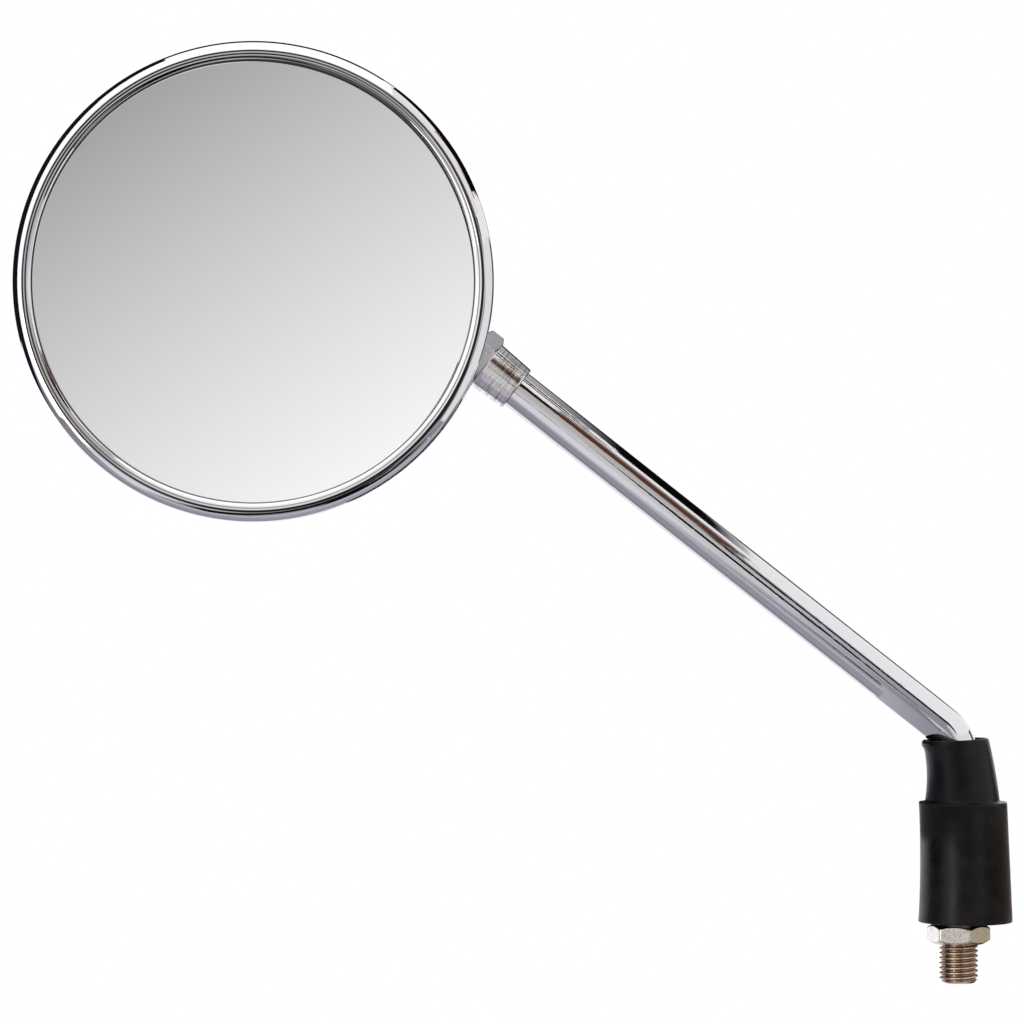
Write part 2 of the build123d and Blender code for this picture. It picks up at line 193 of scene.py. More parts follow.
# hex bar in polar form: half the flats over the largest cosine to a flat, as a high power mean that rounds the corners
def hexRadius(turn, acrossFlats, cornerAt, power=70):
    flats = np.radians(cornerAt + 30 + np.array([0, 60, 120]))
    spread = (np.abs(np.cos(turn[:, None] - flats)) ** power).sum(1) ** (1 / power)
    return acrossFlats / 2 / spread


# smaller of two lengths, with the edge between them rounded over about one over sharpness
def softMin(a, b, sharpness=14.0):
    low = np.minimum(a, b)
    return low - np.log1p(np.exp(-sharpness * np.abs(a - b))) / sharpness


# materials: each roughness is a span for a pattern to fill

# shared by several: where most of a noise's values lie, and how far a grain and a ripple stand up, in metres
midNoise = {"From Min": 0.3, "From Max": 0.7}
grainRise, rippleRise = 0.0002, 0.002

# chromium plate on drawn rod: a grey mirror whose bands are broken into dashes along the draw by pits under the plate
rodLook = {"plate": "#c5c5c7", "roughness": {"To Min": 0.035, "To Max": 0.085}, "drawMm": 0.45, "stretch": 7,
           "drawHeight": 0.0000028, "waveMm": 20.0, "waveHeight": 0.000012}
chromeRod, tree, shader = newMaterial("chromiumPlatedDrawnRod", {
    "Metallic": 1.0, "Base Color": linear(rodLook["plate"])})
uvMm = addNode(tree, "UVMap", uv_map="surfaceMm")
stretch = addNode(tree, "Mapping", {"Vector": uvMm.outputs["UV"], "Scale": (1.0, 1 / rodLook["stretch"], 1.0)})
drawLines = addNode(tree, "TexNoise", {
    "Vector": stretch.outputs["Vector"], "Scale": 1 / rodLook["drawMm"], "Detail": 2.0, "Roughness": 0.55})
waves = addNode(tree, "TexNoise", {"Vector": uvMm.outputs["UV"], "Scale": 1 / rodLook["waveMm"], "Detail": 1.0})
pits = addNode(tree, "MapRange", {"Value": drawLines.outputs["Fac"], "From Min": 0.56, "From Max": 0.7})
rubbed = addNode(tree, "MapRange", {
    "Value": drawLines.outputs["Fac"], "From Min": 0.35, "From Max": 0.75, **rodLook["roughness"]})
swell = addNode(tree, "Bump", {"Height": waves.outputs["Fac"], "Strength": 1.0, "Distance": rodLook["waveHeight"]})
bump = addNode(tree, "Bump", {
    "Height": pits.outputs["Result"], "Strength": 1.0, "Distance": rodLook["drawHeight"],
    "Normal": swell.outputs["Normal"]})
dress(tree, shader, rubbed, bump)

# chromium plate on rolled steel sheet: clear mirror bands that run round the rim, broken by faint rolling lines,
# and dark lines in the creases between the beads, painted into the plate's colour as shade and dark reflections
rimLook = {"plate": "#c6c6c8", "paintedCreaseShade": "#14100f", "roughness": {"To Min": 0.03, "To Max": 0.06}, "rollMm": 0.4,
           "stretch": 40, "rollHeight": 0.0000008}
chromeRim, tree, shader = newMaterial("chromiumPlatedRolledSheet", {"Metallic": 1.0})
# painted shade: the attribute below mixes the dark crease colour into the plate's colour
creaseDepth = addNode(tree, "Attribute", attribute_name="paintedCreaseShade")
tone = addNode(tree, "Mix", {
    0: creaseDepth.outputs["Fac"], 6: linear(rimLook["plate"]), 7: linear(rimLook["paintedCreaseShade"])}, data_type="RGBA")
uvMm = addNode(tree, "UVMap", uv_map="surfaceMm")
stretch = addNode(tree, "Mapping", {"Vector": uvMm.outputs["UV"], "Scale": (1 / rimLook["stretch"], 1.0, 1.0)})
rollLines = addNode(tree, "TexNoise", {
    "Vector": stretch.outputs["Vector"], "Scale": 1 / rimLook["rollMm"], "Detail": 2.0})
rubbed = addNode(tree, "MapRange", {
    "Value": rollLines.outputs["Fac"], "From Min": 0.35, "From Max": 0.75, **rimLook["roughness"]})
bump = addNode(tree, "Bump", {"Height": rollLines.outputs["Fac"], "Strength": 1.0, "Distance": rimLook["rollHeight"]})
dress(tree, shader, rubbed, bump, tone)

# chromium plate on a pressed bowl: a mirror with the slow ripple that pressing leaves
shellLook = {"plate": "#c4c4c7", "roughness": {"To Min": 0.05, "To Max": 0.11}, "rippleMm": 14.0, "grainMm": 0.6,
             "bump": 0.035, "crownMm": 97.3, "poleMm": 3.6}
chromeShell, tree, shader = newMaterial("chromiumPlatedPressing", {
    "Metallic": 1.0, "Base Color": linear(shellLook["plate"])})
place = addNode(tree, "TexCoord")
ripple = addNode(tree, "TexNoise", {
    "Vector": place.outputs["Object"], "Scale": 1000 / shellLook["rippleMm"], "Detail": 1.0})
grain = addNode(tree, "TexNoise", {
    "Vector": place.outputs["Object"], "Scale": 1000 / shellLook["grainMm"], "Detail": 2.0})
rubbed = addNode(tree, "MapRange", {
    "Value": grain.outputs["Fac"], "From Min": 0.4, "From Max": 0.8, **shellLook["roughness"]})
# the mesh has one leaning normal at the bowl's pole, so the last ring round it is shaded as the crown's own ball
shellLow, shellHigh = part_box("shell")
crownMiddle = ((shellLow.x + shellHigh.x) / 2, shellHigh.y - shellLook["crownMm"] * mm, (shellLow.z + shellHigh.z) / 2)
outward = addNode(tree, "VectorMath", {0: place.outputs["Object"], 1: crownMiddle}, operation="SUBTRACT")
aside = addNode(tree, "VectorMath", {0: outward.outputs["Vector"], 1: (1, 0, 1)}, operation="MULTIPLY")
fromPole = addNode(tree, "VectorMath", {0: aside.outputs["Vector"]}, operation="LENGTH")
atPole = addNode(tree, "Math", {0: fromPole.outputs["Value"], 1: shellLook["poleMm"] * mm}, operation="LESS_THAN")
turned = addNode(tree, "VectorTransform", {
    "Vector": outward.outputs["Vector"]}, vector_type="NORMAL", convert_from="OBJECT", convert_to="WORLD")
smooth = addNode(tree, "NewGeometry")
facing = addNode(tree, "Mix", {
    0: atPole.outputs["Value"], 4: smooth.outputs["Normal"], 5: turned.outputs["Vector"]}, data_type="VECTOR")
bump = addNode(tree, "Bump", {
    "Height": ripple.outputs["Fac"], "Strength": shellLook["bump"], "Distance": rippleRise,
    "Normal": facing.outputs[1]})
dress(tree, shader, rubbed, bump)

# plated steel over turning marks: bright metal whose tool rings break each highlight into fine lines across the axis
turnedLook = {"plate": "#dcdbdb", "groove": "#85807f", "roughness": {"To Min": 0.09, "To Max": 0.19}, "feedMm": 0.32,
              "feedScale": (0.03, 1.0, 1.0), "feedHeight": 0.00001, "chatterMm": 0.5, "chatterScale": (0.35, 1.0, 1.0),
              "chatterHeight": 0.00001}
turnedSteel, tree, shader = newMaterial("platedTurnedSteel", {"Metallic": 1.0})
uvMm = addNode(tree, "UVMap", uv_map="surfaceMm")
rings = addNode(tree, "Mapping", {"Vector": uvMm.outputs["UV"], "Scale": turnedLook["feedScale"]})
toolFeed = addNode(tree, "TexNoise", {
    "Vector": rings.outputs["Vector"], "Scale": 1 / turnedLook["feedMm"], "Detail": 3.0, "Roughness": 0.7})
breaks = addNode(tree, "Mapping", {"Vector": uvMm.outputs["UV"], "Scale": turnedLook["chatterScale"]})
chatter = addNode(tree, "TexNoise", {
    "Vector": breaks.outputs["Vector"], "Scale": 1 / turnedLook["chatterMm"], "Detail": 2.0})
ridge = addNode(tree, "MapRange", {"Value": toolFeed.outputs["Fac"], "From Min": 0.36, "From Max": 0.56})
tone = addNode(tree, "Mix", {
    0: ridge.outputs["Result"], 6: linear(turnedLook["groove"]), 7: linear(turnedLook["plate"])}, data_type="RGBA")
rubbed = addNode(tree, "MapRange", {"Value": chatter.outputs["Fac"], **midNoise, **turnedLook["roughness"]})
ridges = addNode(tree, "Bump", {
    "Height": toolFeed.outputs["Fac"], "Strength": 1.0, "Distance": turnedLook["feedHeight"]})
bump = addNode(tree, "Bump", {
    "Height": chatter.outputs["Fac"], "Strength": 1.0, "Distance": turnedLook["chatterHeight"],
    "Normal": ridges.outputs["Normal"]})
dress(tree, shader, rubbed, bump, tone)

# plated flats of drawn hex bar: even satin grey, with a faint grain along the bar
hexLook = {"plate": "#c3c2c4", "dull": "#b1b0b3", "roughness": {"To Min": 0.2, "To Max": 0.3}, "grainMm": 0.5,
           "grainScale": (1.0, 0.2, 1.0), "bump": 0.03}
hexBar, tree, shader = newMaterial("platedDrawnHexBar", {"Metallic": 1.0})
uvMm = addNode(tree, "UVMap", uv_map="surfaceMm")
lengthwise = addNode(tree, "Mapping", {"Vector": uvMm.outputs["UV"], "Scale": hexLook["grainScale"]})
grain = addNode(tree, "TexNoise", {
    "Vector": lengthwise.outputs["Vector"], "Scale": 1 / hexLook["grainMm"], "Detail": 3.0})
tone = addNode(tree, "Mix", {
    0: grain.outputs["Fac"], 6: linear(hexLook["plate"]), 7: linear(hexLook["dull"])}, data_type="RGBA")
rubbed = addNode(tree, "MapRange", {"Value": grain.outputs["Fac"], **midNoise, **hexLook["roughness"]})
bump = addNode(tree, "Bump", {"Height": grain.outputs["Fac"], "Strength": hexLook["bump"], "Distance": grainRise})
dress(tree, shader, rubbed, bump, tone)

# clear zinc plate on a pressed nut: pale warm metal, speckled where the plate is thin
zincLook = {"plate": "#bdb9b1", "speck": "#81766a", "roughness": {"To Min": 0.2, "To Max": 0.34}, "speckMm": 0.55,
            "cloudMm": 2.2, "bump": 0.12}
zinc, tree, shader = newMaterial("clearZincPlatedSteel", {"Metallic": 1.0})
place = addNode(tree, "TexCoord")
specks = addNode(tree, "TexNoise", {
    "Vector": place.outputs["Object"], "Scale": 1000 / zincLook["speckMm"], "Detail": 4.0, "Roughness": 0.65})
clouds = addNode(tree, "TexNoise", {
    "Vector": place.outputs["Object"], "Scale": 1000 / zincLook["cloudMm"], "Detail": 2.0})
thin = addNode(tree, "MapRange", {
    "Value": specks.outputs["Fac"], "From Min": 0.52, "From Max": 0.72, "To Min": 0.0, "To Max": 0.8})
tone = addNode(tree, "Mix", {
    0: thin.outputs["Result"], 6: linear(zincLook["plate"]), 7: linear(zincLook["speck"])}, data_type="RGBA")
rubbed = addNode(tree, "MapRange", {"Value": clouds.outputs["Fac"], **midNoise, **zincLook["roughness"]})
bump = addNode(tree, "Bump", {"Height": specks.outputs["Fac"], "Strength": zincLook["bump"], "Distance": grainRise})
dress(tree, shader, rubbed, bump, tone)

# rolled thread with a thin yellow passivation: brown, darker towards its roots, and golden on its crests, where the
# paler colour is a painted highlight
threadLook = {"crest": "#e8d8bd", "root": "#8f7868", "roughness": {"To Min": 0.18, "To Max": 0.33}, "stainMm": 1.4,
              "stainShare": 0.5, "bump": 0.1}
threadSteel, tree, shader = newMaterial("yellowPassivatedThread", {"Metallic": 1.0})
place = addNode(tree, "TexCoord")
darkShare = addNode(tree, "TexNoise", {
    "Vector": place.outputs["Object"], "Scale": 1000 / threadLook["stainMm"], "Detail": 3.0})
depth = addNode(tree, "Attribute", attribute_name="threadDepth")
share = addNode(tree, "Math", {
    0: darkShare.outputs["Fac"], 1: threadLook["stainShare"], 2: depth.outputs["Fac"]}, operation="MULTIPLY_ADD")
fade = addNode(tree, "MapRange", {"Value": share.outputs["Value"], "From Min": 0.2, "From Max": 1.05})
# the paler crest colour is a painted highlight over the real golden passivation; the groove depth mixes the roots
# darker
tone = addNode(tree, "Mix", {
    0: fade.outputs["Result"], 6: linear(threadLook["crest"]), 7: linear(threadLook["root"])}, data_type="RGBA")
rubbed = addNode(tree, "MapRange", {"Value": darkShare.outputs["Fac"], **midNoise, **threadLook["roughness"]})
bump = addNode(tree, "Bump", {"Height": darkShare.outputs["Fac"], "Strength": threadLook["bump"], "Distance": grainRise})
dress(tree, shader, rubbed, bump, tone)

# moulded rubber: satin black, a little brown and purple, with a fine mould grain and a grey bloom in patches
rubberLook = {"black": "#0b0a0c", "bloom": "#191618", "gloss": 0.13, "roughness": {"To Min": 0.25, "To Max": 0.39},
              "grainMm": 0.35, "bloomMm": 5.0, "bump": 0.16}
bootRubber, tree, shader = newMaterial("mouldedRubber", {"IOR": 1.52, "Specular IOR Level": rubberLook["gloss"]})
place = addNode(tree, "TexCoord")
grain = addNode(tree, "TexNoise", {
    "Vector": place.outputs["Object"], "Scale": 1000 / rubberLook["grainMm"], "Detail": 3.0})
bloom = addNode(tree, "TexNoise", {
    "Vector": place.outputs["Object"], "Scale": 1000 / rubberLook["bloomMm"], "Detail": 4.0, "Roughness": 0.6})
dusty = addNode(tree, "MapRange", {"Value": bloom.outputs["Fac"], "From Min": 0.42, "From Max": 0.72})
tone = addNode(tree, "Mix", {
    0: dusty.outputs["Result"], 6: linear(rubberLook["black"]), 7: linear(rubberLook["bloom"])}, data_type="RGBA")
rubbed = addNode(tree, "MapRange", {"Value": bloom.outputs["Fac"], **midNoise, **rubberLook["roughness"]})
bump = addNode(tree, "Bump", {"Height": grain.outputs["Fac"], "Strength": rubberLook["bump"], "Distance": grainRise})
dress(tree, shader, rubbed, bump, tone)

# silvered float glass: a clear neutral mirror, with a trace of handling haze
glassLook = {"silver": "#f7f7f7", "haze": 0.012, "hazeMm": 22.0}
silveredGlass, tree, shader = newMaterial("silveredFloatGlass", {
    "Metallic": 1.0, "Base Color": linear(glassLook["silver"])})
place = addNode(tree, "TexCoord")
haze = addNode(tree, "TexNoise", {
    "Vector": place.outputs["Object"], "Scale": 1000 / glassLook["hazeMm"], "Detail": 5.0, "Roughness": 0.6})
rubbed = addNode(tree, "MapRange", {
    "Value": haze.outputs["Fac"], "From Min": 0.45, "From Max": 0.8, "To Min": 0.0, "To Max": glassLook["haze"]})
dress(tree, shader, rubbed)

# the hidden pieces: dull rubber, milky nylon, plain grey steel and dark oiled steel, each of two tones mixed by a
# grain; the columns are name, tones, metallic, lowest and highest roughness, grain in millimetres and IOR
hiddenBump = 0.1
hiddenLooks = {
    "gasket_rubber": ("extrudedGasketRubber", "#191c1a", "#272b28", 0.0, (0.5, 0.65), 0.5, 1.52),
    "nylon": ("mouldedNaturalNylon", "#e6e2d2", "#d6cfb8", 0.0, (0.35, 0.5), 1.2, 1.53),
    "plain_steel": ("turnedMildSteel", "#a9a8a6", "#8b8987", 1.0, (0.3, 0.45), 0.4, 1.5),
    "spring_steel": ("oiledSpringSteel", "#6c6a69", "#4f4a45", 1.0, (0.28, 0.43), 0.7, 1.5),
}
hidden = {}
for slotName, (name, one, two, metal, rough, grainMm, ior) in hiddenLooks.items():
    hidden[slotName], tree, shader = newMaterial(name, {"Metallic": metal, "IOR": ior})
    place = addNode(tree, "TexCoord")
    grain = addNode(tree, "TexNoise", {"Vector": place.outputs["Object"], "Scale": 1000 / grainMm, "Detail": 3.0})
    tone = addNode(tree, "Mix", {0: grain.outputs["Fac"], 6: linear(one), 7: linear(two)}, data_type="RGBA")
    rubbed = addNode(tree, "MapRange", {
        "Value": grain.outputs["Fac"], **midNoise, "To Min": rough[0], "To Max": rough[1]})
    bump = addNode(tree, "Bump", {"Height": grain.outputs["Fac"], "Strength": hiddenBump, "Distance": grainRise})
    dress(tree, shader, rubbed, bump, tone)
print("materials made")

# head: everything is turned about a line along +Y through the rim's middle, and depth runs back from the rim's front
rimLow, rimHigh = (np.array(corner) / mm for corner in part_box("bezel"))
headFoot = np.array([(rimLow[0] + rimHigh[0]) / 2, rimLow[1], (rimLow[2] + rimHigh[2]) / 2])
headAxis, headRight, headUp = (0, 1, 0), (1, 0, 0), (0, 0, 1)

# rim: section of rolled sheet; the front is given by its slope at each radius, and its depth is the running sum of the
# slope's tangent, measured from the crown; it turns over the edge in an arc and is rolled over into a back lip
rim = {
    "outer": 59.99, "opening": 55.35, "lipDepth": 1.5, "lipRound": 0.06, "sheet": 0.7, "roll": 1.2,
    "backLip": 56.2, "blur": 0.03, "step": 0.01, "frontSteps": 800, "cols": 400, "rows": 240,
    "radii": (55.38, 55.5, 55.7, 56.0, 56.3, 56.46, 56.54, 56.62, 56.7, 56.95, 57.1, 57.22, 57.32, 57.42, 57.52, 57.58,
              57.62, 57.8, 58.1, 58.5, 58.9, 59.35),
    "slopes": (-31, -28, -24, -15, -11, -7, 10, 0, -18, -12, -4, 46, 0, -58, -8, 0, 9, 13.5, 18, 24, 31.5, 42),
    "innerFace": ((57.5, 0.75), (57.0, 1.3), (56.55, 1.5)),
    # the next lines place the painted crease shade: radii, widths and the depth it ends at, where it widens and fades,
    # how dark the third and fourth lines are painted, and where the fourth, on the lip, is darkest
    "creaseAt": (57.34, 56.66, 56.05, 55.6), "creaseWidth": (0.22, 0.23, 0.16, 0.26), "creaseDepth": 0.6,
    "widestAt": 320, "widenBy": 0.8, "fadeBy": 0.65, "darkShare": 0.95, "lipShadeAt": 50, "lipShadeSpread": 34,
}
back = rimHigh[1] - rimLow[1]
reach = np.linspace(rim["radii"][0], rim["radii"][-1], rim["frontSteps"])
rising = np.tan(np.radians(np.interp(reach, rim["radii"], rim["slopes"])))
depth = np.r_[0, np.cumsum((rising[1:] + rising[:-1]) / 2 * np.diff(reach))]
depth -= depth.min()
edgeTurn = rim["slopes"][-1]
edgeRadius = (rim["outer"] - reach[-1]) / (1 - math.sin(math.radians(edgeTurn)))
edgeMiddle = depth[-1] + edgeRadius * math.cos(math.radians(edgeTurn))
inside = edgeRadius - rim["sheet"]
section = np.vstack([
    [[rim["opening"], rim["lipDepth"]], [rim["opening"], depth[0] + rim["lipRound"]]],
    np.stack([reach, depth], -1),
    arc(rim["outer"] - edgeRadius, edgeMiddle, edgeRadius, edgeTurn - 90, 0, 30),
    arc(rim["outer"] - rim["roll"], back - rim["roll"], rim["roll"], 0, 90, 16),
    [[rim["backLip"], back], [rim["backLip"], back - rim["sheet"]]],
    arc(rim["outer"] - rim["roll"], back - rim["roll"], rim["roll"] - rim["sheet"], 90, 0, 12),
    arc(rim["outer"] - edgeRadius, edgeMiddle, inside, 0, edgeTurn - 90, 20),
    rim["innerFace"],
])
section = softened(section, True, rim["blur"], rim["rows"], rim["step"])
section[:, 0] = np.minimum(section[:, 0], rim["outer"])
section[:, 1] = np.clip(section[:, 1], 0, back)
points = revolved(section, rim["cols"], headFoot, headAxis, headRight, headUp)
around = np.linspace(0, 2 * math.pi * rim["outer"], rim["cols"] + 1)
rolledRim = gridPiece("rolledRim", points, True, (), around, runLength(section))
# how dark each crease is painted, as painted shade: a flat-topped bell curve of the radius, on the front only; the
# outer crease is widest at the lower right, the second fades out there, the third shows along the top, and the fourth
# is a painted shade line on the lip at the upper right
turn = np.linspace(0, 2 * math.pi, rim["cols"], endpoint=False)
nearWidest = np.cos(turn - math.radians(rim["widestAt"]))
share = (
    np.ones_like(turn),
    np.clip(rim["fadeBy"] * (1 - nearWidest), 0, 1),
    rim["darkShare"] * np.clip(np.sin(turn), 0, 1) ** 0.6,
    rim["darkShare"] * np.exp(-((np.degrees(turn) - rim["lipShadeAt"]) / rim["lipShadeSpread"]) ** 4),
)
offBy = [(section[:, :1] - at) / width for at, width in zip(rim["creaseAt"], rim["creaseWidth"])]
offBy[0] = offBy[0] / (1 + rim["widenBy"] * np.clip(nearWidest, 0, 1))
paintedCreaseShade = sum(np.exp(-off**4) * part for off, part in zip(offBy, share)) * (section[:, 1:] < rim["creaseDepth"])
paintedShadeLayer = rolledRim.data.attributes.new("paintedCreaseShade", "FLOAT", "POINT")
paintedShadeLayer.data.foreach_set("value", paintedCreaseShade.ravel().astype(np.float32))
settle(rolledRim, "head", "chrome_rim", [chromeRim], "bezel")

# glass: a cap of a sphere, front and back, joined by a ground edge
glass = {"radius": 56.3, "sphere": 1000.0, "thickness": 2.0, "edge": 0.12, "cols": 320, "rows": 40}
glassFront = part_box("mirror_glass")[0].y / mm - rimLow[1]
reach = np.linspace(poleRadius, glass["radius"] - glass["edge"], glass["rows"])
sag = glassFront + glass["sphere"] - np.sqrt(glass["sphere"] ** 2 - reach**2)
front = np.stack([reach, sag], -1)
edge = np.array([
    [glass["radius"], sag[-1] + glass["edge"]], [glass["radius"], sag[-1] + glass["thickness"] - glass["edge"]]])
profile = np.vstack([front, edge, (front + [0, glass["thickness"]])[::-1]])
points = revolved(profile, glass["cols"], headFoot, headAxis, headRight, headUp)
convexGlass = gridPiece("convexGlass", points, False, ("start", "end"))
settle(convexGlass, "head", "silvered_glass", [silveredGlass], "mirror_glass")

# gasket: a channel round the glass, whose front flange shows beside the rim; the flange stands out most towards the
# upper right, by a bell curve of the angle, because the glass sits a little low in its channel
gasket = {"show": 0.05, "showMore": 0.45, "mostAt": 52.0, "spread": 48.0, "front": 1.85, "wall": 0.4, "cover": 0.95,
          "fit": 0.05, "tuck": 0.02, "round": (0.05, 0.2), "cols": 360}
inner = rim["opening"] + gasket["cover"] + gasket["fit"]
outer = inner + gasket["wall"]
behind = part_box("glass_gasket")[1].y / mm - rimLow[1]
flangeBack = gasket["front"] + gasket["wall"]
channel = np.array([
    [outer, gasket["front"]], [outer, behind], [rim["opening"], behind], [rim["opening"], behind - gasket["wall"]],
    [inner, behind - gasket["wall"]], [inner, flangeBack],
    [rim["opening"] - gasket["tuck"], flangeBack],
    [rim["opening"] - gasket["round"][0], gasket["front"] + gasket["round"][1]],
    [rim["opening"] - gasket["tuck"], gasket["front"]],
])
flangeRows = slice(6, None)
points = revolved(channel, gasket["cols"], headFoot, headAxis, headRight, headUp)
degrees = np.linspace(0, 360, gasket["cols"], endpoint=False)
offMost = np.mod(degrees - gasket["mostAt"] + 180, 360) - 180
show = gasket["show"] + gasket["showMore"] * np.exp(-(offMost / gasket["spread"]) ** 4)
turn = np.radians(degrees)[:, None]
inward = -(np.cos(turn) * np.array(headRight) + np.sin(turn) * np.array(headUp))
points[flangeRows] += show[None, :, None] * inward * mm
settle(gridPiece("glassGasket", points, True), "head", "gasket_rubber", [hidden["gasket_rubber"]], "glass_gasket")

# stalk: one rod, a vertical run, a bend and a slanted run; each ring stands square to the centre line
stalk = {
    "radius": 5.0, "slope": 38.3, "bendHeight": 51.8, "bendRadius": 11.0, "reach": 142.4, "spigot": 3.9,
    "spigotLength": 7.6, "edge": 0.12, "tip": -9.9, "runOut": 18.0, "fade": 1.5, "crest": 4.93, "pitch": 1.25,
    "depth": 0.7, "chamfer": 1.0, "nutTop": 5.0, "nutRoom": 0.06, "meshRadius": 4.59, "cols": 120,
    "firstRow": 0.02, "rowGap": 0.2, "rowsPerPitch": 14, "straightRows": 12, "bendRows": 49, "slantRows": 60,
    "edgeRows": (-0.1, -0.02, 0.0, 0.02),
}
bendAngle = math.radians(90 - stalk["slope"])
bendRun = stalk["bendRadius"] * math.tan(bendAngle / 2)
bendFoot = stalk["bendHeight"] - bendRun
bendEnd = bendFoot + stalk["bendRadius"] * bendAngle
rodEnd = bendEnd + stalk["reach"] - bendRun
spigotEnd = rodEnd + stalk["spigotLength"]
threadEnd = stalk["runOut"] + stalk["fade"]
height = np.concatenate([
    [stalk["tip"], stalk["tip"]],
    np.arange(stalk["tip"] + stalk["firstRow"], threadEnd, stalk["pitch"] / stalk["rowsPerPitch"]),
    np.linspace(threadEnd + stalk["rowGap"], bendFoot, stalk["straightRows"]),
    np.linspace(bendFoot, bendEnd, stalk["bendRows"])[1:],
    np.linspace(bendEnd, rodEnd - stalk["rowGap"], stalk["slantRows"])[1:],
    rodEnd + np.array(stalk["edgeRows"]),
    [spigotEnd, spigotEnd],
])
turned = np.clip((height - bendFoot) / stalk["bendRadius"], 0, bendAngle)
beyond = np.maximum(height - bendEnd, 0)
middle = np.stack([
    stalk["bendRadius"] * (np.cos(turned) - 1) - beyond * math.sin(bendAngle),
    np.zeros_like(height),
    np.minimum(height, bendFoot) + stalk["bendRadius"] * np.sin(turned) + beyond * math.cos(bendAngle),
], -1)
turn = np.linspace(0, 2 * math.pi, stalk["cols"], endpoint=False)
# thread: a crest, 60 degree flanks and a flat root, repeated each pitch and wound round once a pitch
phase = np.mod(height[:, None] / stalk["pitch"] - turn / (2 * math.pi), 1)
offCrest = np.abs(phase - 0.5) * stalk["pitch"]
groove = np.clip((offCrest - stalk["pitch"] / 16) * math.sqrt(3), 0, stalk["depth"])
onThread = height < stalk["runOut"]
fadeOut = np.clip((stalk["runOut"] - height) / stalk["fade"], 0, 1)[:, None]
radius = np.where(onThread, stalk["crest"], stalk["radius"])[:, None] - groove * fadeOut
inNut = ((height > -stalk["nutRoom"]) & (height < stalk["nutTop"] + stalk["nutRoom"]))[:, None]
radius = np.where(inNut, np.minimum(radius, stalk["meshRadius"]), radius)
tipRadius = stalk["crest"] - stalk["chamfer"]
radius = np.minimum(radius, tipRadius + (height - stalk["tip"])[:, None])
radius[0] = poleRadius
radius[1] = tipRadius
radius[height > rodEnd] = stalk["spigot"]
radius[np.isclose(height, rodEnd)] = stalk["radius"] - stalk["edge"]
radius[-1] = poleRadius
one = np.stack([np.cos(turned), np.zeros_like(turned), np.sin(turned)], -1)
ring = np.cos(turn)[:, None] * one[:, None] + np.sin(turn)[:, None] * np.array([0, 1, 0])
points = middle[:, None] + radius[..., None] * ring
around = np.linspace(0, 2 * math.pi * stalk["radius"], stalk["cols"] + 1)
rod = gridPiece("bentStalk", points * mm, False, ("start", "end"), around, np.r_[height, height[-1]])
depthShare = (groove / stalk["depth"] * onThread[:, None]).astype(np.float32)
rod.data.attributes.new("threadDepth", "FLOAT", "POINT").data.foreach_set("value", depthShare.ravel())
faceRow = np.minimum(np.arange(len(rod.data.polygons)) // stalk["cols"], len(height) - 1)
faceRow[-2:] = [0, len(height) - 1]
rod.data.polygons.foreach_set("material_index", onThread[faceRow].astype(np.int32))
settle(rod, "stem", "chrome_rod", [chromeRod, threadSteel], "stalk")

# lock nut: a hex bar whose corners are taken off by a cone at each face, round a countersunk hole
nut = {"flats": 14.0, "height": 5.0, "cornerAt": -12.6, "inset": 0.75, "hole": 4.645, "mouth": 0.5, "soft": (0.02, 0.1),
       "cols": 300, "rows": 36}
turn = np.linspace(0, 2 * math.pi, nut["cols"], endpoint=False)
level = nut["height"] * (0.5 - 0.5 * np.cos(np.linspace(0, math.pi, nut["rows"])))
faceRadius = nut["flats"] / 2 - nut["inset"]
cone = faceRadius + math.sqrt(3) * np.minimum(level, nut["height"] - level)
wall = softMin(hexRadius(turn, nut["flats"], nut["cornerAt"])[None, :], cone[:, None])
upperMouth = nut["height"] - nut["mouth"]
holeRun = np.array([
    [nut["hole"] + nut["mouth"], nut["height"]],
    [nut["hole"] + nut["soft"][0], upperMouth],
    [nut["hole"], upperMouth - nut["soft"][1]],
    [nut["hole"], nut["mouth"] + nut["soft"][1]],
    [nut["hole"] + nut["soft"][0], nut["mouth"]],
    [nut["hole"] + nut["mouth"], 0.0],
])
rings = np.vstack([wall, np.repeat(holeRun[:, :1], nut["cols"], 1)])
level = np.r_[level, holeRun[:, 1]]
points = np.stack([rings * np.cos(turn), rings * np.sin(turn), np.repeat(level[:, None], nut["cols"], 1)], -1)
settle(gridPiece("lockNut", points * mm, True), "nut", "zinc", [zinc], "lock_nut")

# boot: rings with a middle, a radius, a tilt and a stretch, run up the skirt, over the step, up the neck,
# over the lip, down the bore along the rod, and down inside the skirt; the blur rounds its edges as moulded rubber is;
# lean is how far right each middle stands, from the skirt's foot up, and mouthRing a radius, a drop and a stretch
boot = {
    "bottom": 5.4, "step": 35.8, "waistRise": 8.3, "mouth": 51.6, "roof": 32.9, "bore": 5.12, "boreDrop": 2.0,
    "mouthRing": (5.5, 0.1, 1.09), "skirtBore": 10.083, "skirtBottom": 11.933, "skirtTop": 11.183,
    "neckFoot": 9.45, "neckWaist": 8.62, "neckTop": 8.35, "lean": (1.7, 1.05, 0.95, 0.56, 0.47), "tilt": 2.0,
    "blur": 0.3, "blurStep": 0.03, "rows": 190, "cols": 168, "skirtRows": 24, "neckRows": 25, "boreRows": 18,
    "bow": 0.25, "nickAt": -138.0, "nickDepth": 0.6, "nickDrop": 0.5, "nickHigh": 0.5, "nickWide": 0.035,
    "beyondNeck": 9.8, "lip": 0.5, "lipDrop": 1.25, "lipHigh": 0.75, "beyondBore": 7.0,
}


# x of the rod's middle, and its lean, at a height in the bend
def rodAt(level):
    rise = np.clip(level - bendFoot, 0, None)
    return np.sqrt(stalk["bendRadius"] ** 2 - rise**2) - stalk["bendRadius"], np.arcsin(rise / stalk["bendRadius"])


